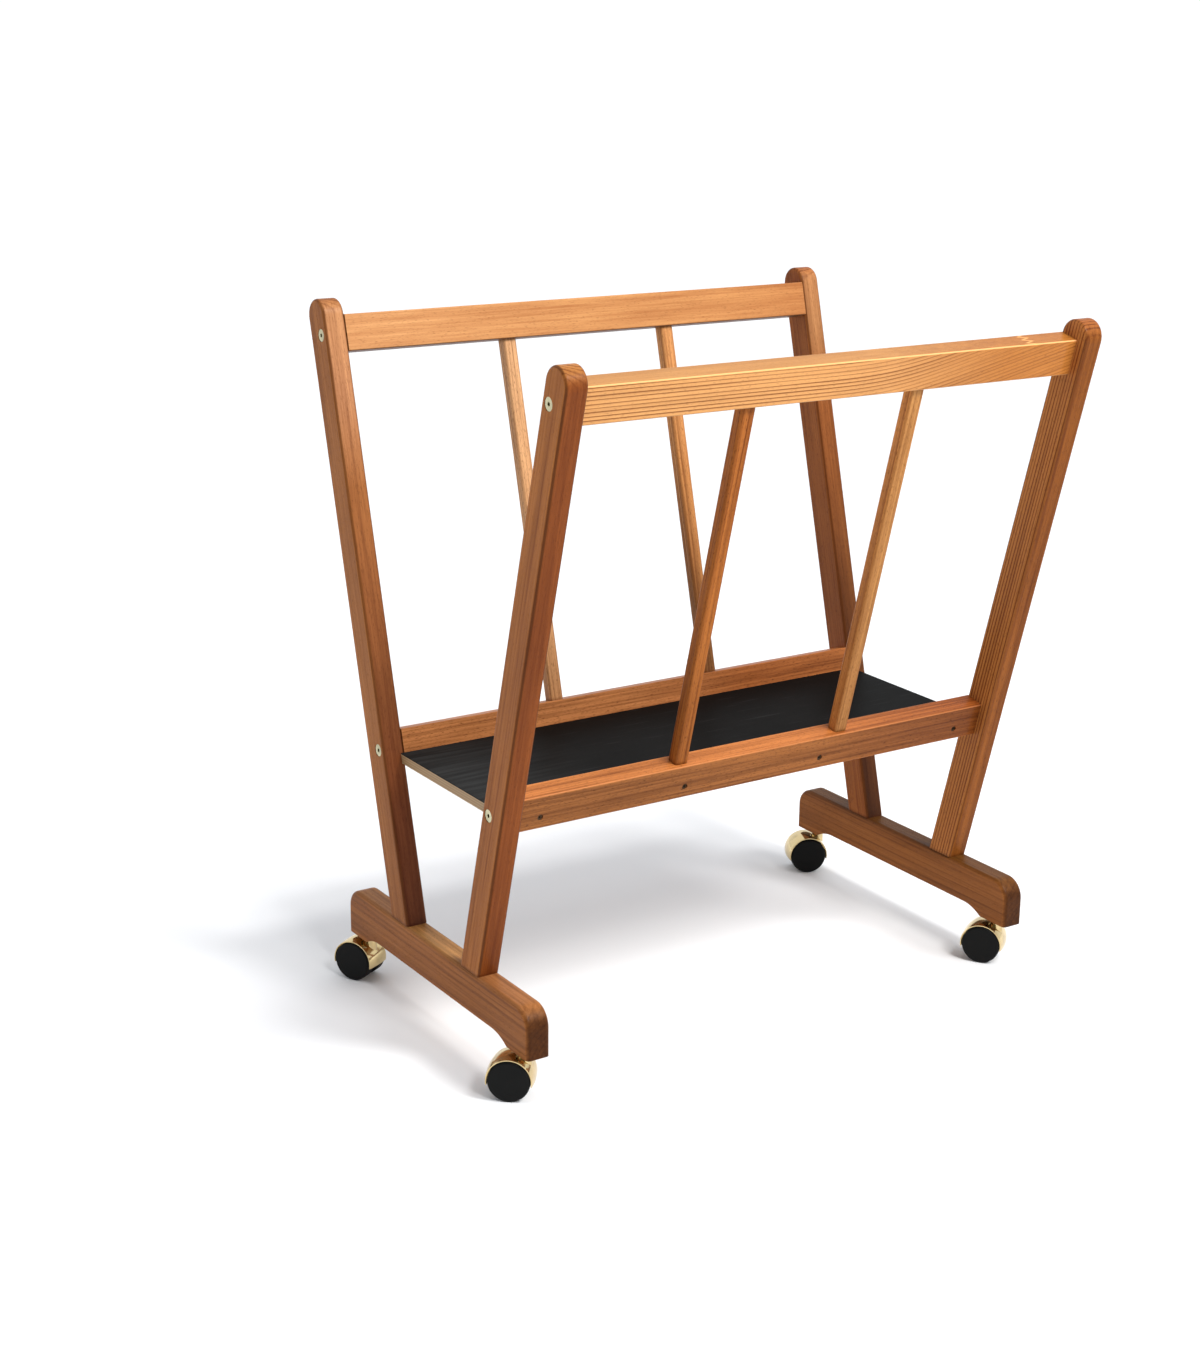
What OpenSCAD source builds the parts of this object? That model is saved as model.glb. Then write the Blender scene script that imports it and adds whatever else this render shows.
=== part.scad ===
// Rack for newspapers, prints and posters: two slatted sides lean apart over a flat
// shelf and stand on two feet with hooded twin-wheel casters.
// X runs along the rails, Y across the rack with its front at -Y, Z up.
// The origin is on the floor under the middle of the rack.

/* [Frame] */
// Length over the outer faces of the posts
rack_length = 670; // [540:5:900]
// Lean of the posts from upright, in degrees
lean = 14.75; // [10:0.25:18]
// Clear gap between front and back posts where they stand on the feet
base_gap = 116.6; // [90:0.2:180]
// Length of a post, from the foot's top to its rounded tip
post_length = 689; // [560:1:900]
// Width of a post across the rack
post_w = 38; // [36:1:44]
// Thickness of a post along the rack
post_t = 25; // [22:1:27]
// Radius on the long edges of a post
post_edge_r = 3.5; // [1:0.5:5]

/* [Rails and spindles] */
// Height of a rail, measured along the lean
rail_h = 40; // [38:1:50]
// Thickness of a rail
rail_t = 25; // [22:1:28]
// Radius on the long edges of a rail
rail_edge_r = 1.8; // [0.5:0.1:3]
// Distance of the top rail's middle below the posts' tips, along the lean
top_rail_below = 40; // [40:1:120]
// Height of the lower rail's middle above the feet, along the lean
low_rail_at = 196; // [180:1:260]
// Width of a spindle along the rack
spindle_w = 17; // [16:1:22]
// Depth of a spindle across the rack
spindle_d = 15; // [14:1:18]
// Distance of each spindle from the middle of its rail
spindle_at = 107; // [60:1:200]

/* [Feet] */
// Length of a foot across the rack
foot_length = 398; // [360:2:520]
// Height of a foot over its pads
foot_h = 54; // [50:1:70]
// Thickness of a foot along the rack
foot_t = 27; // [27:1:36]
// Radius on the upper end corners of a foot
foot_end_r = 23; // [12:1:30]
// Radius on the long upper edges of a foot
foot_edge_r = 4.5; // [1:0.5:6]
// Rise of the relieved underside between the pads
foot_relief = 9; // [4:0.5:14]
// Length of each flat pad
pad_length = 40; // [38:1:50]

/* [Shelf] */
// Drop from the lower rails' upper inner edges to the shelf's surface
shelf_drop = 25.5; // [20:0.5:26]
// Length by which the shelf runs past each end of the rails
shelf_past = 4.5; // [-8:0.5:8]
// Thickness of the plywood board
board_t = 10; // [8:0.5:12]
// Thickness of the black sheet on the board
surface_t = 1; // [0.6:0.1:2]

/* [Casters] */
// Diameter of a wheel
wheel_d = 45; // [42:1:47]
// Width of a wheel
wheel_w = 11; // [9:0.5:12]
// Height from the floor to the underside of a foot
caster_h = 52.5; // [52:0.5:60]
// Distance of the axle behind the swivel stem
trail = 15; // [13:0.5:16]
// Distance of a stem from the end of its foot
stem_from_end = 26; // [20:0.5:28]
// Direction in which the front left caster trails, in degrees from +X
front_left_trails = 139; // [0:1:359]
// Direction in which the front right caster trails, in degrees from +X
front_right_trails = 125; // [0:1:359]
// Direction in which the back left caster trails, in degrees from +X
back_left_trails = 119; // [0:1:359]
// Direction in which the back right caster trails, in degrees from +X
back_right_trails = 156; // [0:1:359]

/* [Hidden] */
$fn = 64;
// Left and front are the negative sides, right and back the positive ones
LEFT = -1;
RIGHT = 1;
FRONT = -1;
BACK = 1;
// Distance by which cutters run past the faces that they cut
past = 1;

foot_top = caster_h + foot_h;
post_x = (rack_length - post_t) / 2;
rail_length = rack_length - 2 * post_t;
top_rail_at = post_length - top_rail_below;

// Connector bolts, threaded inserts and rail dowels
bolt_head_d = 13.5;
bolt_head_h = 2.4;
bolt_seat_d = 14;
bolt_seat_depth = 2.8;
bolt_d = 6;
bolt_clear_d = 6.6;
hex_across = 4;
hex_depth = 1.8;
insert_d = 9.5;
insert_length = 18;
bolt_past_insert = 3;
bolt_tip_room = 5;
bolt_tip_d = 7;
bolt_length = post_t - bolt_seat_depth + insert_length + bolt_past_insert;
rail_dowel_d = 6;
rail_dowel_length = 24;
rail_dowel_offset = 12.5;
bolt_outward = rail_t / 2;

// Foot dowels, set upright in the middle of each post's footprint
foot_dowel_d = 8;
foot_dowel_length = 46;
foot_dowel_inset = 14.2;
foot_dowel_pitch = 15;

// Shelf screws, level through the rail into the edge of the shelf. Their places along the
// rail are given as shares of half its length.
screw_at = [-0.903, -0.326, 0.258, 0.887];
screw_d = 3.5;
screw_head_d = 6.6;
screw_head_h = 2.2;
screw_sunk = 1.2;
screw_length = 45;
screw_tip_length = 4;
screw_tip_d = 0.6;
screw_hole_gap = 0.2;
recess_across = 3.4;
recess_w = 1;
recess_depth = 1.3;

// Spindle tenons
tenon_d = 9;
tenon_length = 12;
spindle_edge_r = 3.6;

// Shelf outline: its long edges are bevelled to lie flat against the leaning rails
shelf_top = foot_top + (low_rail_at + rail_h / 2) * cos(lean) - shelf_drop;
shelf_length = rail_length + 2 * shelf_past;
board_top = shelf_top - surface_t;
board_bottom = board_top - board_t;

// Foot underside: small convex corner at the pad, then a wide cove up to the relief
pad_corner_r = 8;
cove_r = 54;
cove_angle = acos(1 - foot_relief / (pad_corner_r + cove_r));

// Casters
axle_z = wheel_d / 2;
axle_d = 5;
axle_fit = 0.1;
axle_end_gap = 0.4;
web_w = 12;
wheel_gap = 0.5;
wheel_y = web_w / 2 + wheel_gap;
wheel_face_t = 2.2;
axle_length = 2 * (wheel_y + wheel_w - wheel_face_t - axle_end_gap);
wheel_rim_t = 3.4;
wheel_hub_d = 11;
wheel_edge_r = 2.4;
hood_gap = 0.9;
hood_in_r = wheel_d / 2 + hood_gap;
hood_wall = 1;
hood_short_of_wheel = 1.2;
hood_half_w = wheel_y + wheel_w - hood_short_of_wheel;
hood_crown = 1.2;
hood_below_axle = 4.5;
web_r = hood_in_r + hood_wall / 2;
hub_d = 13;
neck_d = 14;
neck_gap = 0.3;
stem_d = 8;
stem_fit = 0.1;
stem_length = 60;
stem_below = 25;
stem_tip_h = 1.5;
stem_tip_d = 5;
stem_groove_d = 6.4;
stem_groove_w = 2;
stem_groove_from_top = 6;
socket_d = 11;
socket_length = 38;
socket_top_t = 1;
flange_d = 17;
flange_t = 1;
neck_top = caster_h - flange_t - neck_gap;
stem_x = post_x;
stem_y = foot_length / 2 - stem_from_end;

CORNERS = [
    ["front_left", LEFT, FRONT, front_left_trails],
    ["front_right", RIGHT, FRONT, front_right_trails],
    ["back_left", LEFT, BACK, back_left_trails],
    ["back_right", RIGHT, BACK, back_right_trails]
];
SIDES = [["front", FRONT], ["back", BACK]];
ENDS = [["left", LEFT], ["right", RIGHT]];
CORNER_PARTS = [
    "post", "spindle", "caster_socket", "caster_stem", "caster_hood", "caster_axle",
    "caster_left_wheel", "caster_right_wheel"
];
FASTENERS = ["connector_bolts", "threaded_inserts", "rail_dowels", "foot_dowels", "shelf_screws"];

// ---------- Outlines and shared shapes ----------

// Rectangle about the origin with round corners
module rounded_rect(w, h, r) {
    square([w - 2 * r, h], center = true);
    square([w, h - 2 * r], center = true);
    for (x = [-1, 1])
        for (y = [-1, 1])
            translate([x * (w / 2 - r), y * (h / 2 - r)])
                circle(r);
}

// Bar of length l along X with rounded long edges, w deep in Y and h high in Z
module bar_x(l, w, h, r) {
    rotate([90, 0, 90])
        linear_extrude(l, center = true)
            rounded_rect(w, h, r);
}

// Half disc on the X axis, w wide, whose round side looks up and has rounded edges
module round_cap(d, w, r) {
    rotate([0, 90, 0])
        rotate([0, 0, 90])
            rotate_extrude(angle = 180)
                intersection() {
                    rounded_rect(d, w, r);
                    translate([0, -w])
                        square([d, 2 * w]);
                }
}

// Cylinder along X, centred
module rod_x(d, l) {
    rotate([0, 90, 0])
        cylinder(d = d, h = l, center = true);
}

// Cylinder along Y, centred
module rod_y(d, l) {
    rotate([90, 0, 0])
        cylinder(d = d, h = l, center = true);
}

// Side frame of the rack: children's Z runs up along the posts' inner faces from the
// feet, and their Y points outwards, away from the middle of the rack
module side_frame(side) {
    mirror([0, side == FRONT ? 1 : 0, 0])
        translate([0, base_gap / 2, foot_top])
            rotate([-lean, 0, 0])
                children();
}

// Places children at every rail end, with X pointing out of the rack
module at_rail_ends(side) {
    for (e = ENDS)
        for (z = [low_rail_at, top_rail_at])
            side_frame(side)
                translate([e[1] * rail_length / 2, bolt_outward, z])
                    mirror([e[1] == LEFT ? 1 : 0, 0, 0])
                        children();
}

// ---------- Posts and rails ----------

module post_blank() {
    cap_z = post_length - post_w / 2;
    translate([0, post_w / 2, cap_z / 2])
        linear_extrude(cap_z, center = true)
            rounded_rect(post_t, post_w, post_edge_r);
    translate([0, post_w / 2, cap_z])
        round_cap(post_w, post_t, post_edge_r);
}

// Holes that the rails' hardware needs in one post
module post_joint_holes() {
    rod_x(bolt_clear_d, 4 * post_t);
    translate([post_t, 0, 0])
        rod_x(bolt_seat_d, 2 * bolt_seat_depth);
    translate([0, 0, -rail_dowel_offset])
        rod_x(rail_dowel_d, rail_dowel_length);
}

module post(end, side) {
    color("peru")
        difference() {
            side_frame(side)
                translate([end * post_x, 0, 0])
                    post_blank();
            translate([0, 0, foot_top - post_length])
                cube([2 * rack_length, 2 * post_length, 2 * post_length], center = true);
            at_rail_ends(side)
                post_joint_holes();
            at_foot_dowels()
                foot_dowel();
        }
}

// Places children at both ends of a rail, with X pointing out of the rack
module at_one_rail_ends(z) {
    for (e = ENDS)
        translate([e[1] * rail_length / 2, bolt_outward, z])
            mirror([e[1] == LEFT ? 1 : 0, 0, 0])
                children();
}

// Rail blank with its end holes, in the side frame
module rail(z) {
    difference() {
        translate([0, rail_t / 2, z])
            bar_x(rail_length, rail_t, rail_h, rail_edge_r);
        at_one_rail_ends(z) {
            rod_x(insert_d, 2 * insert_length);
            rod_x(bolt_tip_d, 2 * (insert_length + bolt_tip_room));
            translate([0, 0, -rail_dowel_offset])
                rod_x(rail_dowel_d, rail_dowel_length);
        }
    }
}

module at_spindles() {
    for (e = ENDS)
        translate([e[1] * spindle_at, rail_t / 2, 0])
            children();
}

module top_rail(side) {
    color("burlywood")
        side_frame(side)
            difference() {
                rail(top_rail_at);
                at_spindles()
                    translate([0, 0, top_rail_at - rail_h / 2 - past])
                        cylinder(d = tenon_d, h = tenon_length + past);
            }
}

module lower_rail(side) {
    color("peru")
        difference() {
            side_frame(side)
                difference() {
                    rail(low_rail_at);
                    at_spindles()
                        translate([0, 0, low_rail_at + rail_h / 2 - tenon_length])
                            cylinder(d = tenon_d, h = tenon_length + past);
                }
            at_shelf_screws(side)
                screw_hole();
        }
}

module spindle(end, side) {
    low = low_rail_at + rail_h / 2;
    high = top_rail_at - rail_h / 2;
    color("goldenrod")
        side_frame(side)
            translate([end * spindle_at, rail_t / 2, 0]) {
                translate([0, 0, low])
                    linear_extrude(high - low)
                        rounded_rect(spindle_w, spindle_d, spindle_edge_r);
                for (z = [low - tenon_length, high])
                    translate([0, 0, z])
                        cylinder(d = tenon_d, h = tenon_length);
            }
}

// ---------- Feet ----------

// Foot without holes, centred in X and Y, standing on z = 0
module foot_blank() {
    straight = foot_length - 2 * foot_end_r;
    translate([0, 0, foot_h / 2])
        rotate([90, 0, 0])
            linear_extrude(straight, center = true)
                union() {
                    rounded_rect(foot_t, foot_h, foot_edge_r);
                    translate([0, -foot_h / 4])
                        square([foot_t, foot_h / 2], center = true);
                }
    for (y = [-1, 1])
        mirror([0, y == -1 ? 1 : 0, 0])
            translate([0, straight / 2, 0]) {
                linear_extrude(foot_h - foot_end_r)
                    intersection() {
                        rounded_rect(foot_t, 2 * foot_end_r, foot_edge_r);
                        translate([-foot_t, 0])
                            square([2 * foot_t, 2 * foot_end_r]);
                    }
                translate([0, 0, foot_h - foot_end_r])
                    rotate([0, 90, 0])
                        rotate([0, 0, 90])
                            rotate_extrude(angle = 90)
                                intersection() {
                                    rounded_rect(2 * foot_end_r, foot_t, foot_edge_r);
                                    translate([0, -foot_t])
                                        square([2 * foot_end_r, 2 * foot_t]);
                                }
            }
}

// Space cut out of the underside, from the middle to one pad (x is across the rack)
module relief_outline() {
    pad_corner = foot_length / 2 - pad_length;
    cove_start = pad_corner - (pad_corner_r + cove_r) * sin(cove_angle);
    cove_end = cove_start + cove_r * sin(cove_angle);
    cove_end_z = pad_corner_r * (1 - cos(cove_angle));
    difference() {
        union() {
            translate([-past, -past])
                square([cove_start + past, foot_relief + past]);
            intersection() {
                translate([cove_start, foot_relief - cove_r])
                    circle(cove_r, $fn = 128);
                translate([cove_start, -past])
                    square([cove_end - cove_start, foot_relief + past]);
            }
            translate([cove_end, -past])
                square([pad_corner - cove_end, cove_end_z + past]);
        }
        translate([pad_corner, pad_corner_r])
            circle(pad_corner_r);
    }
}

module foot(end) {
    color("sienna")
        difference() {
            translate([end * post_x, 0, caster_h])
                difference() {
                    foot_blank();
                    for (y = [0, 1])
                        mirror([0, y, 0])
                            rotate([90, 0, 90])
                                linear_extrude(2 * foot_t, center = true)
                                    relief_outline();
                }
            at_foot_dowels()
                foot_dowel();
            for (y = [-stem_y, stem_y])
                translate([end * stem_x, y, caster_h - past])
                    cylinder(d = socket_d, h = socket_length + past);
        }
}

// ---------- Shelf ----------

// Length of the shelf between two heights, bevelled to the lean of the rails
module shelf_layer(low, high) {
    half_low = base_gap / 2 + (low - foot_top) * tan(lean);
    half_high = base_gap / 2 + (high - foot_top) * tan(lean);
    rotate([90, 0, 90])
        linear_extrude(shelf_length, center = true)
            polygon([[-half_low, low], [half_low, low], [half_high, high], [-half_high, high]]);
}

module shelf_board() {
    color("wheat")
        difference() {
            shelf_layer(board_bottom, board_top);
            for (s = SIDES)
                at_shelf_screws(s[1])
                    rod_y(screw_d, 2 * (screw_length + screw_sunk));
        }
}

module shelf_surface() {
    color("#202020")
        shelf_layer(board_top, shelf_top);
}

// ---------- Fasteners ----------

// Places children where each shelf screw's axis leaves the rail, with -Y into the shelf
module at_shelf_screws(side) {
    z = (board_bottom + board_top) / 2;
    // Level distance from the middle of the rack to the rail's leaning outer face
    face_y = base_gap / 2 + (z - foot_top) * tan(lean) + rail_t / cos(lean);
    mirror([0, side == FRONT ? 1 : 0, 0])
        for (k = screw_at)
            translate([k * rail_length / 2, face_y, z])
                children();
}

module screw_hole() {
    head_hole_d = screw_head_d + screw_hole_gap;
    rod_y(screw_d, 2 * screw_length);
    translate([0, screw_length - screw_sunk, 0])
        rod_y(head_hole_d, 2 * screw_length);
    translate([0, -screw_sunk, 0])
        rotate([90, 0, 0])
            cylinder(d1 = head_hole_d, d2 = screw_d, h = screw_head_h);
}

// Countersunk screw with a cross recess, running from its head towards -Y
module shelf_screw() {
    difference() {
        translate([0, -screw_sunk, 0])
            rotate([90, 0, 0]) {
                cylinder(d1 = screw_head_d, d2 = screw_d, h = screw_head_h);
                cylinder(d = screw_d, h = screw_length - screw_tip_length);
                translate([0, 0, screw_length - screw_tip_length])
                    cylinder(d1 = screw_d, d2 = screw_tip_d, h = screw_tip_length);
            }
        for (a = [0, 90])
            translate([0, -screw_sunk - recess_depth, 0])
                rotate([0, a, 0])
                    translate([-recess_across / 2, 0, -recess_w / 2])
                        cube([recess_across, 2 * recess_depth, recess_w]);
    }
}

module shelf_screws() {
    color("gray")
        for (s = SIDES)
            at_shelf_screws(s[1])
                shelf_screw();
}

// Flat-headed bolt with a hex socket, from its seat in the post into the rail
module connector_bolt() {
    head_x = post_t - bolt_seat_depth;
    difference() {
        union() {
            translate([head_x + bolt_head_h / 2, 0, 0])
                rod_x(bolt_head_d, bolt_head_h);
            translate([head_x - bolt_length / 2, 0, 0])
                rod_x(bolt_d, bolt_length);
        }
        translate([head_x + bolt_head_h, 0, 0])
            rotate([0, 90, 0])
                cylinder(d = hex_across / cos(30), h = 2 * hex_depth, center = true, $fn = 6);
    }
}

module connector_bolts() {
    color("khaki")
        for (s = SIDES)
            at_rail_ends(s[1])
                connector_bolt();
}

module threaded_inserts() {
    color("goldenrod")
        for (s = SIDES)
            at_rail_ends(s[1])
                translate([-insert_length / 2, 0, 0])
                    difference() {
                        rod_x(insert_d, insert_length);
                        rod_x(bolt_d, insert_length + 2 * past);
                    }
}

module rail_dowels() {
    color("tan")
        for (s = SIDES)
            at_rail_ends(s[1])
                translate([0, 0, -rail_dowel_offset])
                    rod_x(rail_dowel_d, rail_dowel_length);
}

module foot_dowel() {
    cylinder(d = foot_dowel_d, h = foot_dowel_length, center = true);
}

module at_foot_dowels() {
    for (c = CORNERS)
        for (i = [0, 1])
            translate([
                c[1] * post_x,
                c[2] * (base_gap / 2 + foot_dowel_inset + i * foot_dowel_pitch),
                foot_top
            ])
                children();
}

module foot_dowels() {
    color("tan")
        at_foot_dowels()
            foot_dowel();
}

// ---------- Casters ----------
// In a caster's own frame the stem is on the Z axis, the axle trails behind it at +X and
// lies along Y. Seen as the caster rolls, its left wheel is the one at -Y.

module caster_frame(c) {
    translate([c[1] * stem_x, c[2] * stem_y, 0])
        rotate([0, 0, c[3]])
            children();
}

module at_axle() {
    translate([trail, 0, axle_z])
        children();
}

// Crowned brass shell over both wheels, open below
module hood_shell() {
    crown_r = (hood_half_w * hood_half_w + hood_crown * hood_crown) / (2 * hood_crown);
    top_r = hood_in_r + hood_wall + hood_crown;
    rotate([90, 0, 0])
        rotate_extrude($fn = 96)
            intersection() {
                translate([top_r - crown_r, 0])
                    circle(crown_r, $fn = 360);
                translate([hood_in_r, -hood_half_w])
                    square([hood_wall + hood_crown + past, 2 * hood_half_w]);
            }
}

module caster_hood(c) {
    color("gold")
        caster_frame(c)
            difference() {
                union() {
                    at_axle() {
                        difference() {
                            union() {
                                hood_shell();
                                rod_y(2 * web_r, web_w);
                            }
                            translate([0, 0, -hood_below_axle - wheel_d])
                                cube([3 * wheel_d, 3 * wheel_d, 2 * wheel_d], center = true);
                        }
                        rod_y(hub_d, web_w);
                    }
                    difference() {
                        translate([0, 0, axle_z])
                            cylinder(d = neck_d, h = neck_top - axle_z);
                        at_axle()
                            rod_y(2 * web_r, 2 * neck_d);
                    }
                }
                at_axle()
                    rod_y(axle_d, 2 * web_w);
                translate([0, 0, caster_h - stem_below])
                    cylinder(d = stem_d, h = 2 * stem_below);
            }
}

module caster_stem(c) {
    low = caster_h - stem_below;
    color("silver")
        caster_frame(c)
            difference() {
                translate([0, 0, low]) {
                    cylinder(d = stem_d, h = stem_length - stem_tip_h);
                    translate([0, 0, stem_length - stem_tip_h])
                        cylinder(d1 = stem_d, d2 = stem_tip_d, h = stem_tip_h);
                }
                translate([0, 0, low + stem_length - stem_groove_from_top - stem_groove_w])
                    difference() {
                        cylinder(d = 2 * stem_d, h = stem_groove_w);
                        cylinder(d = stem_groove_d, h = stem_groove_w);
                    }
            }
}

// Sleeve pressed into the foot, with a flange under it that takes the load
module caster_socket(c) {
    color("silver")
        translate([c[1] * stem_x, c[2] * stem_y, caster_h])
            difference() {
                union() {
                    cylinder(d = socket_d, h = socket_length);
                    translate([0, 0, -flange_t])
                        cylinder(d = flange_d, h = flange_t);
                }
                translate([0, 0, -flange_t - past])
                    cylinder(
                        d = stem_d + stem_fit,
                        h = past + flange_t + socket_length - socket_top_t
                    );
            }
}

module caster_axle(c) {
    color("silver")
        caster_frame(c)
            at_axle()
                rod_y(axle_d, axle_length);
}

// Cup-shaped wheel with its closed face outwards; outward is +1 or -1 along the axle
module caster_wheel(c, outward) {
    bore_depth = wheel_w - wheel_face_t;
    color("#151515")
        caster_frame(c)
            at_axle()
                mirror([0, outward == -1 ? 1 : 0, 0])
                    translate([0, wheel_y, 0])
                        rotate([-90, 0, 0])
                            difference() {
                                rotate_extrude($fn = 96)
                                    wheel_outline(wheel_d / 2);
                                translate([0, 0, -past])
                                    cylinder(d = axle_d + axle_fit, h = bore_depth + past);
                            }
}

// Half section of a wheel: x is the radius and y runs from the inner side outwards
module wheel_outline(r) {
    square([wheel_hub_d / 2, wheel_w]);
    translate([0, wheel_w - wheel_face_t])
        square([r - wheel_edge_r, wheel_face_t]);
    translate([r - wheel_rim_t, 0])
        square([wheel_rim_t, wheel_w - wheel_edge_r]);
    translate([r - wheel_rim_t, 0])
        square([wheel_rim_t - wheel_edge_r, wheel_w]);
    translate([r - wheel_edge_r, wheel_w - wheel_edge_r])
        circle(wheel_edge_r);
}

shelf_board();
shelf_surface();
connector_bolts();
threaded_inserts();
rail_dowels();
foot_dowels();
shelf_screws();
for (e = ENDS) {
    foot(e[1]);
}
for (s = SIDES) {
    top_rail(s[1]);
    lower_rail(s[1]);
}
for (c = CORNERS) {
    post(c[1], c[2]);
    spindle(c[1], c[2]);
    caster_socket(c);
    caster_stem(c);
    caster_hood(c);
    caster_axle(c);
    caster_wheel(c, -1);
    caster_wheel(c, 1);
}
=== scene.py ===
import math
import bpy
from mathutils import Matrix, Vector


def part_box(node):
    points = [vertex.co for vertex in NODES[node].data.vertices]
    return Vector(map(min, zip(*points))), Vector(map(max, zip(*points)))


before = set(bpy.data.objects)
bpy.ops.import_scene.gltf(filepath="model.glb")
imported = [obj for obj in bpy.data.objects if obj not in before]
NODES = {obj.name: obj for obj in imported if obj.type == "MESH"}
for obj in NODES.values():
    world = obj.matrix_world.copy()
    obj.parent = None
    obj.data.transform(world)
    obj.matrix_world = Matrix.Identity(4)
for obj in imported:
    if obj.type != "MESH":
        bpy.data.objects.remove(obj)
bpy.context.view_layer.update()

from types import SimpleNamespace

import bpy
from mathutils import Matrix, Vector

# Lean of the rack's two sides from upright
LEAN = math.radians(14.75)
# Length of a spindle's tenons, hidden in the rails
TENON = 0.012
# A tint that changes nothing
EVEN = (1.0, 1.0, 1.0)


# ---------- Node helpers ----------

class Graph:
    """Short calls for building a material's nodes."""

    def __init__(self, name):
        self.mat = bpy.data.materials.new(name)
        self.mat.use_nodes = True
        self.tree = self.mat.node_tree
        self.tree.nodes.clear()
        self.out = self.node("ShaderNodeOutputMaterial")
        self.shader = self.node("ShaderNodeBsdfPrincipled")
        self.tree.links.new(self.shader.outputs["BSDF"], self.out.inputs["Surface"])

    def node(self, kind, **props):
        made = self.tree.nodes.new(kind)
        for prop, value in props.items():
            setattr(made, prop, value)
        return made

    def put(self, socket, value):
        """Links a node's output to the socket, or sets the socket to a number or a colour."""
        if hasattr(value, "is_output"):
            self.tree.links.new(value, socket)
            return
        if isinstance(value, tuple) and len(socket.default_value) == 4:
            value = (*value, 1.0)
        socket.default_value = value

    def math(self, operation, *terms):
        made = self.node("ShaderNodeMath", operation=operation)
        for socket, term in zip(made.inputs, terms):
            self.put(socket, term)
        return made.outputs[0]

    def add(self, *terms):
        total = terms[0]
        for term in terms[1:]:
            total = self.math("ADD", total, term)
        return total

    def mul(self, *terms):
        total = terms[0]
        for term in terms[1:]:
            total = self.math("MULTIPLY", total, term)
        return total

    def scale(self, x, gain, centre=0.5):
        """(x - centre) * gain"""
        return self.math("MULTIPLY_ADD", x, gain, -centre * gain)

    def vec(self, x, y, z):
        made = self.node("ShaderNodeCombineXYZ")
        for socket, value in zip(made.inputs, (x, y, z)):
            self.put(socket, value)
        return made.outputs[0]

    def split(self, vector):
        made = self.node("ShaderNodeSeparateXYZ")
        self.put(made.inputs[0], vector)
        return made.outputs

    def place(self):
        """The place on the node, in metres. The CAD nodes are drawn where they stand."""
        return self.node("ShaderNodeTexCoord").outputs["Object"]

    def noise(self, vector, scale=1.0, detail=2.0, rough=0.5):
        made = self.node("ShaderNodeTexNoise", noise_dimensions="3D")
        self.put(made.inputs["Vector"], vector)
        made.inputs["Scale"].default_value = scale
        made.inputs["Detail"].default_value = detail
        made.inputs["Roughness"].default_value = rough
        return made.outputs[0]

    def ramp(self, x, stops, interpolation="LINEAR"):
        """stops lists (place, number or colour)."""
        made = self.node("ShaderNodeValToRGB")
        self.put(made.inputs[0], x)
        band = made.color_ramp
        band.interpolation = interpolation
        while len(band.elements) < len(stops):
            band.elements.new(0.5)
        for element, (place, value) in zip(band.elements, stops):
            colour = value if isinstance(value, tuple) else (value,) * 3
            element.position = place
            element.color = (*colour, 1.0)
        return made.outputs[0]

    def mix(self, factor, a, b, blend="MIX"):
        made = self.node("ShaderNodeMix", data_type="RGBA", blend_type=blend)
        self.put(made.inputs["Factor"], factor)
        self.put(made.inputs[6], a)
        self.put(made.inputs[7], b)
        return made.outputs[2]

    def tint(self, factor, colour, tint):
        """The colour, multiplied by the tint as far as the factor says."""
        return self.mix(factor, colour, self.mix(1.0, colour, tint, "MULTIPLY"))

    def bump(self, height, strength, distance):
        made = self.node("ShaderNodeBump")
        made.inputs["Strength"].default_value = strength
        made.inputs["Distance"].default_value = distance
        self.put(made.inputs["Height"], height)
        self.put(self.shader.inputs["Normal"], made.outputs[0])

    def set(self, **values):
        for name, value in values.items():
            self.put(self.shader.inputs[name.replace("_", " ")], value)


def assign(name, mat):
    for slot in NODES[name].material_slots:
        slot.material = mat


def tinted(colour, tint):
    return tuple(c * t for c, t in zip(colour, tint))


def shaded(colour, by, lift=0.0):
    return tuple(min(1.0, c * by + lift) for c in colour)


# ---------- Wood ----------

# What a call of wood() may change
WOOD = dict(
    pith=(0.05, 0.02),  # middle of the tree's rings from the piece's middle, across the grain
    ring=0.004,  # mean width of a ring
    uneven=1.6,  # unevenness of the rings' widths, in rings
    wander=0.004,  # drift of the rings along the grain
    slope=None,  # place along the piece past which the rings slant, and how much they do
    sharp=0.8,  # place within a ring at which the dark late wood begins
    rings=0.5,  # strength of the rings
    end_rings=0.0,  # what the ends add to that
    ring_fade=None,  # factors on it along the piece, each with its place from 0 to 1
    calm=0.0,  # how far the rings are hidden on the faces of cross_tint
    fibre=0.5,  # strength of the fibres
    streak=0.4,  # strength of the streaks along the grain
    mottle=0.35,  # strength of the slow changes of tone
    pores=0.5,  # strength of the dark pores
    face_tint=None,  # tint of the faces that look along the first axis across the grain: painted light and shade, with the wood's own colour
    cross_tint=None,  # tint of the faces that look along the second: painted light and shade, with the wood's own colour
    end_tint=(0.60, 0.54, 0.49),
    fade=None,  # tints along the piece, each with its place from 0 to 1: painted light and shade, with the wood's own tone
    fade_cross=False,  # whether that fade keeps to the faces of cross_tint
    edge=0.0,  # darkening of the long edges, or, if it is negative, a painted highlight that lightens them like a glint
    under=0.0,  # painted shade on the underside
    joint=None,  # place along the piece of a glued finger joint
    seam=None,  # stain gathered where the piece ends: "base", or the length of its tenons
    rough=0.42,
    coat=0.04,
    seed=0.0,
)
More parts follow.
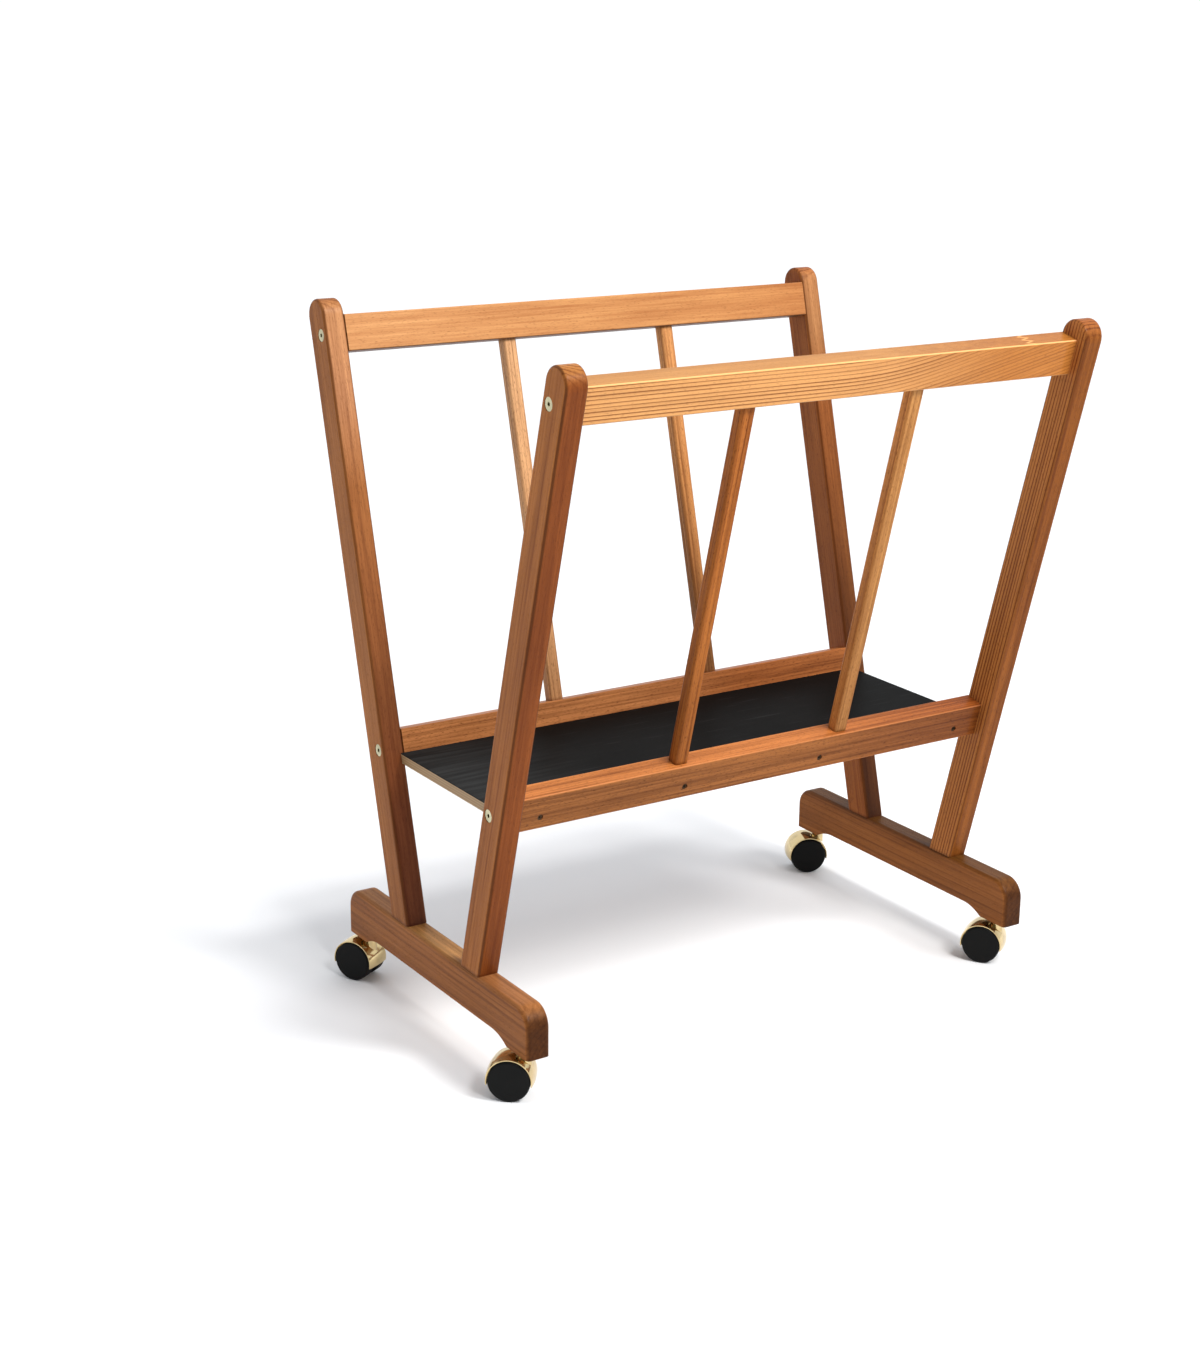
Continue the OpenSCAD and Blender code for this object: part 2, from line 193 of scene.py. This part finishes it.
# Noises in the wood, with their frequencies along the grain and across it, per metre, and the
# shift that sets one apart from another
DRIFT_A = dict(lengthwise=1.7, across=9.0, shift=0.0, detail=1.5)
DRIFT_B = dict(lengthwise=1.7, across=9.0, shift=9.3, detail=1.5)
FIBRE = dict(lengthwise=14.0, across=520.0, shift=0.0, detail=3.0, rough=0.62)
BROAD = dict(lengthwise=3.5, across=90.0, shift=1.0, detail=2.0)
TONE = dict(lengthwise=4.0, across=18.0, shift=6.0, detail=2.0)
STREAK = dict(lengthwise=1.6, across=210.0, shift=8.0, detail=1.5)
PORE = dict(lengthwise=210.0, across=1500.0, shift=0.0, detail=1.0)
# Frequencies of the changes between rings, and along a ring, with their shifts
RING_WIDTHS, RING_STRENGTHS, STRENGTH_LENGTHWISE = 140.0, 60.0, 3.0
WIDTHS_SHIFT, STRENGTHS_SHIFT = 2.0, 4.0
# Step between the noises of one piece and the next
SEED_STEP = 3.71
# Mean tone between the light colour and the dark one
MEAN_TONE = 0.43
# Length over which rings ease into a slant
SLOPE_EASE = 0.1
# Half the pitch of a finger joint's teeth, their slant, and the reach of its glue line
TOOTH_HALF, TOOTH_SLANT = 0.004, 2.6
GLUE_FROM, GLUE_TO = 0.0002, 0.0010
# Width over which the stain gathered at a seam fades out
SEAM_FROM, SEAM_TO = 0.0010, 0.0026
# Roughness of the varnish, and how strongly the wood below it shines
COAT_ROUGH, SHINE = 0.16, 0.07
# Strength and depth of the wood's relief
RELIEF, RELIEF_DEPTH = 0.35, 0.00025


def turned_box(name, turn):
    """Centre and half size of a node in axes turned by a matrix."""
    points = [turn @ v.co for v in NODES[name].data.vertices]
    low = Vector([min(p[i] for p in points) for i in range(3)])
    high = Vector([max(p[i] for p in points) for i in range(3)])
    return (low + high) / 2, (high - low) / 2


def own_axes(g, name, grain, side):
    """Places from the middle of a piece and its normals, both along the grain and across it (a
    and b), in axes that lean with the piece's side of the rack. Also half the piece's length."""
    angle = LEAN * side
    centre, half = turned_box(name, Matrix.Rotation(angle, 3, "X"))
    moved = g.node("ShaderNodeMapping", vector_type="POINT")
    g.put(moved.inputs["Vector"], g.place())
    moved.inputs["Rotation"].default_value = (angle, 0, 0)
    moved.inputs["Location"].default_value = tuple(-centre)
    turned = g.node("ShaderNodeVectorRotate", rotation_type="X_AXIS")
    g.put(turned.inputs["Vector"], g.node("ShaderNodeNewGeometry").outputs["Normal"])
    turned.inputs["Angle"].default_value = angle
    order = {"X": (0, 1, 2), "Y": (1, 0, 2), "Z": (2, 0, 1)}[grain]
    places = g.split(moved.outputs[0])
    normals = g.split(turned.outputs[0])
    at = SimpleNamespace(**{axis: places[i] for axis, i in zip(("along", "a", "b"), order)})
    facing = SimpleNamespace(**{axis: normals[i] for axis, i in zip(("along", "a", "b"), order)})
    return at, facing, half["XYZ".index(grain)]


def drawn_out(g, at, start, lengthwise, across, shift, **noise):
    """A noise drawn out along the grain."""
    x = g.math("MULTIPLY_ADD", at.along, lengthwise, start + shift)
    return g.noise(g.vec(x, g.mul(at.a, across), g.mul(at.b, across)), **noise)


def growth_rings(g, at, look, start):
    """The dark late wood of the tree's rings, and places that drift with them."""
    drift_a = g.scale(drawn_out(g, at, start, **DRIFT_A), 2 * look.wander)
    drift_b = g.scale(drawn_out(g, at, start, **DRIFT_B), 2 * look.wander)
    ring_a = g.math("SUBTRACT", g.add(at.a, drift_a), look.pith[0])
    ring_b = g.math("SUBTRACT", g.add(at.b, drift_b), look.pith[1])
    radius = g.math("SQRT", g.add(g.mul(ring_a, ring_a), g.mul(ring_b, ring_b)))
    widths = g.noise(g.vec(g.mul(radius, RING_WIDTHS), start + WIDTHS_SHIFT, 0.0), detail=1.0)
    count = g.add(g.math("DIVIDE", radius, look.ring), g.scale(widths, look.uneven))
    late = g.ramp(g.math("FRACT", count), [
        (0.0, 0.15), (0.25, 0.0), (look.sharp * 0.75, 0.12), (look.sharp, 0.95),
        (0.5 + look.sharp / 2, 1.0), (1.0, 0.15)], "EASE")
    lengthwise = g.math("MULTIPLY_ADD", at.along, STRENGTH_LENGTHWISE, start + STRENGTHS_SHIFT)
    strength = g.noise(g.vec(lengthwise, g.mul(radius, RING_STRENGTHS), 0.0), detail=1.0)
    late = g.mul(late, g.ramp(strength, [(0.3, 0.45), (0.7, 1.0)]))
    return late, SimpleNamespace(along=at.along, a=ring_a, b=ring_b)


def stain_and_painted_light(g, colour, place, on, look):
    """Tints on some faces, on the ends and along the length. Those on the faces and along the length
    are painted light and shade, with the wood's own colour; the ends take more stain.
    """
    # Painted light and shade on some faces, with the wood's own colour
    if look.face_tint:
        colour = g.tint(on.a, colour, look.face_tint)
    if look.cross_tint:
        colour = g.tint(on.b, colour, look.cross_tint)
    colour = g.tint(on.end, colour, look.end_tint)
    # Painted light and shade along the piece, with the wood's own tone
    if look.fade:
        colour = g.tint(on.b if look.fade_cross else 1.0, colour, g.ramp(place, look.fade))
    return colour


def edges_and_painted_light(g, colour, facing, look, light, dark):
    """Long edges darkened, or lightened by a painted highlight like a glint, and painted shade on
    the underside.
    """
    if look.edge:
        long_edge = g.math("ABSOLUTE", g.mul(facing.a, facing.b, 2.0))
        end_edge = g.math("ABSOLUTE", g.mul(facing.along, facing.a, 2.0))
        corner = g.ramp(g.math("MAXIMUM", long_edge, end_edge), [(0.45, 0.0), (0.9, 1.0)])
        # Edge colour: darker, or, for a negative edge, a painted highlight
        edge_colour_and_sheen = shaded(dark, 0.4) if look.edge > 0 else shaded(light, 1.3, 0.04)
        colour = g.mix(g.mul(corner, abs(look.edge)), colour, edge_colour_and_sheen)
    # Painted shade on the underside
    if look.under:
        down = g.ramp(g.mul(facing.b, -1.0), [(0.25, 0.0), (0.8, 1.0)])
        colour = g.mix(g.mul(down, look.under), colour, shaded(dark, 0.3))
    return colour


def joined(g, colour, name, at, facing, look, light, dark, half_length):
    """A glued finger joint's pale zigzag on the top face, and the dark lines where pieces meet."""
    if look.joint is not None:
        tooth = g.math("PINGPONG", at.a, TOOTH_HALF)
        zigzag = g.math("MULTIPLY_ADD", tooth, TOOTH_SLANT, look.joint)
        off = g.math("ABSOLUTE", g.math("SUBTRACT", at.along, zigzag))
        line = g.ramp(off, [(GLUE_FROM, 1.0), (GLUE_TO, 0.0)])
        line = g.mul(line, g.math("MAXIMUM", facing.b, 0.0), 0.7)
        colour = g.mix(line, colour, shaded(light, 1.5))
    if look.seam is not None:
        if look.seam == "base":
            off = g.math("SUBTRACT", g.split(g.place())[2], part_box(name)[0][2])
        else:
            off = g.math("SUBTRACT", half_length - look.seam, g.math("ABSOLUTE", at.along))
        line = g.ramp(off, [(SEAM_FROM, 1.0), (SEAM_TO, 0.0)])
        colour = g.mix(g.mul(line, 0.6), colour, shaded(dark, 0.5))
    return colour


def wood(name, grain, side, light, dark, **changes):
    """Varnished wood for one piece. grain is the axis along it, side the side of the rack that it
    leans with (0 for none), light and dark its early and late wood, and changes go into WOOD."""
    look = SimpleNamespace(**{**WOOD, **changes})
    g = Graph("wood_" + name)
    at, facing, half_length = own_axes(g, name, grain, side)
    on = SimpleNamespace(
        a=g.mul(facing.a, facing.a),
        b=g.mul(facing.b, facing.b),
        end=g.ramp(g.math("ABSOLUTE", facing.along), [(0.35, 0.0), (0.95, 1.0)]),
    )
    start = look.seed * SEED_STEP
    if look.slope:
        past = g.math("SMOOTH_MAX", g.math("SUBTRACT", at.along, look.slope[0]), 0.0, SLOPE_EASE)
        at.b = g.math("SUBTRACT", at.b, g.mul(past, look.slope[1]))
    late, drifted = growth_rings(g, at, look, start)
    if look.calm:
        late = g.mix(g.mul(on.b, look.calm), late, (0.3, 0.3, 0.3))

    fine = drawn_out(g, at, start, **FIBRE)
    broad = drawn_out(g, at, start, **BROAD)
    tone = drawn_out(g, at, start, **TONE)
    streaks = drawn_out(g, drifted, start, **STREAK)
    streaks = g.ramp(streaks, [(0.34, 0.0), (0.66, 1.0)], "EASE")
    pore = g.ramp(drawn_out(g, at, start, **PORE), [(0.59, 0.0), (0.72, 1.0)])
    place = g.math("MULTIPLY_ADD", at.along, 0.5 / half_length, 0.5)
    ring_gain = g.math("MULTIPLY_ADD", on.end, look.end_rings, look.rings)
    if look.ring_fade:
        ring_gain = g.mul(ring_gain, g.ramp(place, look.ring_fade))
    darkness = g.add(
        g.mul(g.math("SUBTRACT", late, 0.3), ring_gain),
        g.scale(fine, look.fibre),
        g.scale(broad, look.fibre * 0.8),
        g.scale(tone, look.mottle),
        g.scale(streaks, look.streak),
        MEAN_TONE,
    )
    darkness = g.math("MAXIMUM", g.math("MINIMUM", darkness, 1.0), 0.0)

    colour = g.mix(darkness, light, dark)
    colour = g.mix(g.mul(pore, look.pores), colour, shaded(dark, 0.5))
    colour = stain_and_painted_light(g, colour, place, on, look)
    colour = edges_and_painted_light(g, colour, facing, look, light, dark)
    colour = joined(g, colour, name, at, facing, look, light, dark, half_length)
    rough = g.math("MULTIPLY_ADD", pore, 0.15, look.rough)
    g.set(Base_Color=colour, Roughness=g.add(g.scale(fine, 0.18), rough),
          Coat_Weight=look.coat, Coat_Roughness=COAT_ROUGH, Specular_IOR_Level=SHINE)
    relief = g.add(g.mul(fine, 0.5), g.mul(late, -0.25), g.mul(pore, -0.9))
    g.bump(relief, RELIEF, RELIEF_DEPTH)
    assign(name, g.mat)


# Early and late wood of each kind of piece
RED_LIGHT, RED_DARK = (0.42, 0.157, 0.043), (0.155, 0.042, 0.010)
HONEY_LIGHT, HONEY_DARK = (0.67, 0.325, 0.110), (0.215, 0.075, 0.020)
TAN_LIGHT, TAN_DARK = (0.48, 0.172, 0.048), (0.165, 0.047, 0.010)
SLAT_LIGHT, SLAT_DARK = (0.60, 0.255, 0.082), (0.21, 0.065, 0.016)
FOOT_LIGHT, FOOT_DARK = (0.36, 0.125, 0.030), (0.13, 0.038, 0.008)
DOWEL_LIGHT, DOWEL_DARK = (0.62, 0.42, 0.22), (0.42, 0.26, 0.12)

# Corner: side of the lean, tint, and what the post changes in WOOD. The tints of the faces along Y
# and the fades from foot to top are painted light and shade, with the wood's own colour.
POSTS = {
    "front_left": (-1, (1.06, 1.00, 0.82), dict(
        pith=(0.03, 0.06), rings=0.2, streak=0.09, mottle=0.85, fibre=1.0, edge=0.7, pores=0.3,
        cross_tint=(0.57, 0.44, 0.42), end_tint=(1.12, 1.30, 1.45),
        fade=((0.0, (0.90, 0.90, 0.90)), (1.0, EVEN)))),
    "front_right": (-1, (1.10, 1.06, 0.95), dict(
        pith=(0.002, -0.15), ring=0.0042, rings=1.9, streak=0.4, mottle=0.5, fibre=1.1, edge=0.35,
        wander=0.003, uneven=0.7, calm=1.0,
        cross_tint=(0.60, 0.52, 0.34), end_tint=(0.70, 0.61, 0.57))),
    "back_left": (1, (0.98, 0.93, 0.72), dict(
        pith=(0.04, 0.09), rings=0.2, streak=0.16, mottle=0.85, fibre=1.1, edge=0.5, pores=0.45,
        cross_tint=(1.11, 1.19, 1.65), end_tint=(0.74, 0.67, 0.67),
        fade=((0.0, (0.42, 0.33, 0.40)), (0.2, (0.52, 0.42, 0.50)), (0.45, (0.66, 0.60, 0.64)),
              (0.7, (0.80, 0.78, 0.80)), (0.85, (1.23, 1.50, 2.30)), (1.0, (1.40, 1.80, 2.60))))),
    "back_right": (1, (0.88, 0.73, 0.56), dict(
        pith=(-0.02, 0.10), rings=0.3, streak=0.25, mottle=0.6, fibre=0.9, edge=0.5,
        cross_tint=(1.20, 1.36, 1.70), end_tint=(0.92, 0.83, 0.75),
        fade=((0.0, (0.17, 0.155, 0.19)), (0.45, (0.38, 0.35, 0.35)), (0.75, (0.66, 0.60, 0.56)),
              (0.9, (1.11, 1.46, 2.12)), (1.0, (1.25, 1.60, 2.30))))),
}
# Corner: side of the lean, tint, tint of the side faces, fade from shelf to top rail. The side tints
# and the fades are painted light and shade, darker towards the shelf, with the wood's own colour.
SPINDLES = {
    "front_left": (-1, (0.72, 0.54, 0.31), EVEN,
                   ((0.0, (0.84, 0.86, 0.86)), (1.0, (1.05, 1.05, 1.05)))),
    "front_right": (-1, (0.90, 0.98, 0.96), (1.20, 1.02, 0.88),
                    ((0.0, (0.72, 0.68, 0.64)), (1.0, (1.06, 1.06, 1.04)))),
    "back_left": (1, (1.08, 1.36, 1.95), EVEN,
                  ((0.0, (0.98, 0.90, 0.82)), (1.0, (1.08, 1.14, 1.22)))),
    "back_right": (1, (1.20, 1.32, 1.48), EVEN,
                   ((0.0, (0.38, 0.34, 0.32)), (0.6, (0.78, 0.72, 0.64)), (1.0, EVEN))),
}
# Foot: tint of its top and underside, and that tint's fade from front to back. Both are painted
# light and shade, with the wood's own colour.
FEET = {
    "left_foot": ((1.50, 1.75, 2.10), (
        (0.0, (0.86, 0.86, 1.02)), (0.32, (0.86, 0.86, 1.02)), (0.42, (1.30, 1.60, 1.78)),
        (0.58, (1.30, 1.60, 1.78)), (0.7, (0.95, 1.0, 1.1)))),
    "right_foot": ((0.44, 0.48, 0.40), None),
}


def posts():
    for seed, (corner, (side, tint, changes)) in enumerate(POSTS.items(), 1):
        wood(corner + "_post", "Z", side, tinted(RED_LIGHT, tint), tinted(RED_DARK, tint),
             fade_cross=True, end_rings=0.8, seam="base", seed=seed, **changes)


def spindles():
    for seed, (corner, (side, tint, side_tint, fade)) in enumerate(SPINDLES.items(), 11):
        wood(corner + "_spindle", "Z", side, tinted(SLAT_LIGHT, tint), tinted(SLAT_DARK, tint),
             pith=(0.02, 0.03), ring=0.003, rings=0.4, fibre=1.2, pores=0.7, mottle=0.6, edge=0.2,
             streak=0.3, face_tint=side_tint, fade=fade, seam=TENON, seed=seed)


def rails():
    # On the rails the face tints and the fades are painted light and shade, with the wood's own
    # tone; a negative edge paints a highlight like a glint along the long edges, and the underside
    # setting paints shade there
    wood("front_top_rail", "X", -1, HONEY_LIGHT, HONEY_DARK,
         pith=(0.012, -0.16), ring=0.0041, rings=1.35, sharp=0.84, uneven=0.6, wander=0.0012,
         slope=(0.07, 0.24), ring_fade=((0.45, 1.0), (0.75, 0.42)), calm=0.9, fibre=0.5, mottle=0.2,
         pores=0.3, streak=0.05, edge=-0.9, under=0.6, joint=0.243, cross_tint=(0.93, 0.93, 0.82),
         fade=((0.0, EVEN), (0.6, (1.0, 0.98, 0.96)), (0.85, (0.82, 0.64, 0.39)),
               (1.0, (0.82, 0.63, 0.37))),
         coat=0.2, seed=21)
    wood("back_top_rail", "X", 1,
         tinted(HONEY_LIGHT, (1.0, 1.07, 1.30)), tinted(HONEY_DARK, (1.7, 1.75, 2.2)),
         pith=(0.05, 0.06), ring=0.006, rings=0.16, fibre=1.1, mottle=0.6, pores=0.4, streak=0.14,
         under=0.95, fade=((0.0, EVEN), (0.5, (0.95, 0.92, 0.84)), (1.0, (0.80, 0.68, 0.56))),
         seed=22)
    front, back = (1.10, 1.06, 1.0), (1.10, 1.16, 1.35)
    wood("front_lower_rail", "X", -1, tinted(TAN_LIGHT, front), tinted(TAN_DARK, front),
         pith=(0.05, 0.07), rings=0.3, fibre=1.3, mottle=0.6, pores=0.7, streak=0.3, edge=-0.35,
         under=0.5, face_tint=(0.62, 0.66, 0.66),
         fade=((0.0, EVEN), (0.6, (0.97, 0.92, 0.86)), (1.0, (0.70, 0.53, 0.36))), coat=0.1, seed=23)
    wood("back_lower_rail", "X", 1, tinted(TAN_LIGHT, back), tinted(TAN_DARK, back),
         pith=(-0.04, 0.05), rings=0.3, fibre=1.3, mottle=0.8, pores=0.7, streak=0.3, under=0.5,
         fade=((0.0, EVEN), (0.5, EVEN), (0.75, (0.84, 0.70, 0.58)), (1.0, (0.94, 0.82, 0.68))),
         seed=24)


def feet():
    for seed, (name, (top_tint, fade)) in enumerate(FEET.items(), 31):
        wood(name, "Y", 0, FOOT_LIGHT, FOOT_DARK, pith=(0.045, -0.05), ring=0.0055, rings=0.34,
             fibre=0.9, mottle=0.8, pores=0.4, streak=0.3, edge=0.3, end_tint=(0.22, 0.20, 0.18),
             cross_tint=top_tint, fade=fade, fade_cross=True, seed=seed)


def dowels():
    for seed, (name, grain) in enumerate((("rail_dowels", "X"), ("foot_dowels", "Z")), 41):
        wood(name, grain, 0, DOWEL_LIGHT, DOWEL_DARK, rings=0.3, seed=seed)


posts()
spindles()
rails()
feet()
dowels()


# ---------- Shelf ----------

# Layers in the plywood, and its fibres' frequencies along and across each layer
PLY_LAYERS = 7
PLY_ALONG, PLY_ACROSS = 30.0, 900.0


def plywood():
    """Thin layers with their grain laid crosswise in turn, and dark glue lines between them."""
    g = Graph("plywood_edge")
    low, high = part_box("shelf_board")
    x, y, z = g.split(g.place())
    level = g.math("MULTIPLY", g.math("SUBTRACT", z, low[2]), PLY_LAYERS / (high[2] - low[2]))
    turned = g.math("GREATER_THAN", g.math("FRACT", g.mul(level, 0.5)), 0.5)
    glue = g.ramp(g.math("FRACT", level), [(0.0, 1.0), (0.12, 0.0), (0.88, 0.0), (1.0, 1.0)])
    across_z = g.mul(z, PLY_ACROSS)
    along_x = g.noise(g.vec(g.mul(x, PLY_ALONG), g.mul(y, PLY_ACROSS), across_z), detail=2.0)
    along_y = g.noise(g.vec(g.mul(x, PLY_ACROSS), g.mul(y, PLY_ALONG), across_z), detail=2.0)
    fibre = g.math("ADD", g.mul(along_x, turned), g.mul(along_y, g.math("SUBTRACT", 1.0, turned)))
    colour = g.mix(turned, (0.46, 0.30, 0.15), (0.32, 0.20, 0.09))
    colour = g.mix(g.mul(fibre, 0.6), colour, (0.33, 0.21, 0.11))
    colour = g.mix(g.mul(glue, 0.55), colour, (0.17, 0.10, 0.06))
    g.set(Base_Color=colour, Roughness=g.math("MULTIPLY_ADD", fibre, 0.2, 0.5))
    g.bump(g.math("SUBTRACT", fibre, glue), 0.3, 0.0003)
    assign("shelf_board", g.mat)


def black_sheet():
    """Black coated surface with a faint texture along the rack, and a painted grey sheen near its
    left end.
    """
    g = Graph("black_sheet")
    x, y, _ = g.split(g.place())
    grain = g.noise(g.vec(g.mul(x, 260.0), g.mul(y, 900.0), 0.0), detail=3.0, rough=0.6)
    blotch = g.noise(g.vec(g.mul(x, 9.0), g.mul(y, 22.0), 3.0), detail=3.0)
    scuffs_and_sheen = g.noise(g.vec(g.mul(x, 14.0), g.mul(y, 240.0), 7.0), detail=2.0)
    # Painted sheen: grey streaks near the left end
    edge_colour_and_sheen = g.noise(g.vec(g.mul(x, 8.0), g.mul(y, 160.0), 5.0), detail=3.0)
    left = g.ramp(g.mul(x, -1.0), [(0.14, 0.0), (0.30, 1.0)])
    edge_colour_and_sheen = g.mul(left, g.math("MAXIMUM", g.add(g.scale(edge_colour_and_sheen, 1.6), 0.5), 0.0))
    # Pale streaks: scuff marks, with painted sheen
    scuffs_and_sheen = g.ramp(scuffs_and_sheen, [(0.62, 0.0), (0.74, 1.0)])
    colour = g.mix(g.mul(blotch, 0.8), (0.0040, 0.0040, 0.0040), (0.0075, 0.0075, 0.0072))
    colour = g.mix(edge_colour_and_sheen, colour, (0.036, 0.037, 0.037))
    colour = g.mix(g.mul(scuffs_and_sheen, 0.25), colour, (0.05, 0.05, 0.05))
    g.set(Base_Color=colour, Specular_IOR_Level=0.012,
          Roughness=g.add(g.scale(blotch, 0.16), g.scale(grain, 0.16), 0.46))
    g.bump(grain, 0.25, 0.0003)
    assign("shelf_surface", g.mat)


plywood()
black_sheet()


# ---------- Metal and plastic ----------

# Depths below a bolt head's face over which its socket turns dark with painted shade
SOCKET_FROM, SOCKET_TO = 0.0002, 0.0006
# Colour of that painted shade
SOCKET_SHADE = (0.020, 0.017, 0.012)


def metal(name, clean, dull, rough, bump=0.12, face_x=None):
    """Plated metal with faint handling marks. face_x is the distance from the rack's middle of outer
    faces behind which the metal is painted dark, as shade in the bolt sockets."""
    g = Graph(name)
    place = g.place()
    fine = g.noise(place, scale=900.0, detail=2.0)
    wear = g.ramp(g.noise(place, scale=70.0, detail=3.0), [(0.45, 0.0), (0.75, 1.0)])
    colour = g.mix(wear, clean, dull)
    # Painted shade in the bolt sockets
    if face_x:
        depth = g.math("SUBTRACT", face_x, g.math("ABSOLUTE", g.split(place)[0]))
        colour = g.mix(g.ramp(depth, [(SOCKET_FROM, 0.0), (SOCKET_TO, 1.0)]), colour, SOCKET_SHADE)
    g.set(Base_Color=colour, Metallic=1.0,
          Roughness=g.add(g.mul(wear, 0.10), g.scale(fine, 0.06), rough))
    g.bump(fine, bump, 0.0001)
    return g.mat


def black_wheel():
    """Matt black plastic with a little dust."""
    g = Graph("wheel_black")
    place = g.place()
    fine = g.noise(place, scale=1400.0, detail=2.0)
    dust = g.ramp(g.noise(place, scale=60.0, detail=3.0), [(0.5, 0.0), (0.8, 1.0)])
    colour = g.mix(g.mul(dust, 0.5), (0.0050, 0.0051, 0.0049), (0.0090, 0.0090, 0.0085))
    g.set(Base_Color=colour, Specular_IOR_Level=0.12,
          Roughness=g.add(g.mul(dust, 0.12), g.scale(fine, 0.12), 0.52))
    g.bump(fine, 0.25, 0.00015)
    return g.mat


def casters(steel):
    brass = metal("hood_brass", clean=(0.72, 0.56, 0.29), dull=(0.50, 0.38, 0.19), rough=0.10,
                  bump=0.04)
    black = black_wheel()
    for corner in POSTS:
        assign(corner + "_caster_hood", brass)
        for part in ("socket", "stem", "axle"):
            assign(corner + "_caster_" + part, steel)
        for part in ("left_wheel", "right_wheel"):
            assign(corner + "_caster_" + part, black)


def fasteners(steel):
    bolt = metal("bolt_brass", clean=(0.56, 0.52, 0.33), dull=(0.36, 0.33, 0.20), rough=0.28,
                 face_x=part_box("connector_bolts")[1][0])
    screw = metal("screw_steel", clean=(0.085, 0.050, 0.028), dull=(0.045, 0.026, 0.015),
                  rough=0.48)
    assign("connector_bolts", bolt)
    assign("threaded_inserts", steel)
    assign("shelf_screws", screw)


STEEL = metal("caster_steel", clean=(0.62, 0.62, 0.62), dull=(0.42, 0.42, 0.42), rough=0.26)
casters(STEEL)
fasteners(STEEL)


# ---------- Floor, light and camera ----------

def added(name, data):
    """A new object in the scene."""
    made = bpy.data.objects.new(name, data)
    bpy.context.scene.collection.objects.link(made)
    return made


def floor():
    """A round floor that reaches past the camera's horizon."""
    radius, sides = 160.0, 128
    turns = [2 * math.pi * i / sides for i in range(sides)]
    mesh = bpy.data.meshes.new("studio_floor")
    rim = [(radius * math.cos(turn), radius * math.sin(turn), 0.0) for turn in turns]
    mesh.from_pydata(rim, [], [tuple(range(sides))])
    g = Graph("studio_white")
    mottle = g.noise(g.place(), scale=6.0, detail=3.0)
    g.set(Base_Color=g.mix(mottle, (0.858, 0.870, 0.892), (0.878, 0.890, 0.907)),
          Roughness=0.85, Specular_IOR_Level=0.1)
    mesh.materials.append(g.mat)
    added("studio_floor", mesh)


def distant(name, towards, strength, spread):
    """A large distant softbox, so that the floor is lit evenly to the horizon."""
    light = bpy.data.lights.new(name, "SUN")
    light.energy = strength
    light.angle = spread
    light.color = (1.0, 0.99, 0.975)
    made = added(name, light)
    made.location = Vector(towards) * 4
    made.rotation_euler = Vector(towards).to_track_quat("Z", "Y").to_euler()


def softbox(name, place, aim, size, power):
    """A near softbox, whose light falls off from the top of the rack to its feet."""
    light = bpy.data.lights.new(name, "AREA")
    light.shape = "DISK"
    light.size = size
    light.energy = power
    light.color = (1.0, 0.985, 0.96)
    made = added(name, light)
    made.location = place
    made.rotation_euler = (Vector(place) - Vector(aim)).to_track_quat("Z", "Y").to_euler()


def surround(strength, dim_side):
    """A white surround that is dim towards one side, which gives the metal its contrast. The
    camera sees it plain white."""
    world = bpy.data.worlds.new("studio")
    bpy.context.scene.world = world
    world.use_nodes = True
    tree = world.node_tree
    tree.nodes.clear()
    node, link = tree.nodes.new, tree.links.new
    seen = node("ShaderNodeBackground")
    seen.inputs["Color"].default_value = (1, 1, 1, 1)
    seen.inputs["Strength"].default_value = 1.1
    lit = node("ShaderNodeBackground")
    lit.inputs["Strength"].default_value = strength
    towards_dim = node("ShaderNodeVectorMath")
    towards_dim.operation = "DOT_PRODUCT"
    towards_dim.inputs[1].default_value = Vector(dim_side).normalized()
    ramp = node("ShaderNodeValToRGB")
    bright, dim = ramp.color_ramp.elements
    bright.position, bright.color = 0.38, (0.955, 0.975, 1.0, 1)
    dim.position, dim.color = 0.78, (0.16, 0.16, 0.165, 1)
    choose = node("ShaderNodeMixShader")
    link(node("ShaderNodeTexCoord").outputs["Generated"], towards_dim.inputs[0])
    link(towards_dim.outputs["Value"], ramp.inputs[0])
    link(ramp.outputs[0], lit.inputs["Color"])
    link(node("ShaderNodeLightPath").outputs["Is Camera Ray"], choose.inputs[0])
    link(lit.outputs[0], choose.inputs[1])
    link(seen.outputs[0], choose.inputs[2])
    link(choose.outputs[0], node("ShaderNodeOutputWorld").inputs["Surface"])


def camera():
    """The photograph's viewing angle and framing."""
    data = bpy.data.cameras.new("camera")
    data.sensor_fit = "AUTO"
    data.sensor_width = 36.0
    data.lens = 60.0896
    data.shift_x = -0.06595
    data.shift_y = -0.01868
    data.clip_end = 500.0
    made = added("camera", data)
    made.location = (-1.41431, -2.01335, 1.10585)
    made.rotation_euler = [math.radians(angle) for angle in (73.44867, -1.13033, -34.64660)]
    scene = bpy.context.scene
    scene.camera = made
    scene.view_settings.view_transform = "Standard"
    scene.view_settings.look = "None"


floor()
surround(strength=1.0, dim_side=(-0.58, -0.76, 0.28))
distant("key_right", towards=(0.45, -0.82, 1.0), strength=1.0, spread=0.26)
distant("key_front", towards=(0.02, -1.05, 1.0), strength=1.1, spread=0.20)
softbox("softbox", place=(0.42, -1.40, 2.15), aim=(0.0, 0.0, 0.45), size=0.60, power=26.0)
camera()
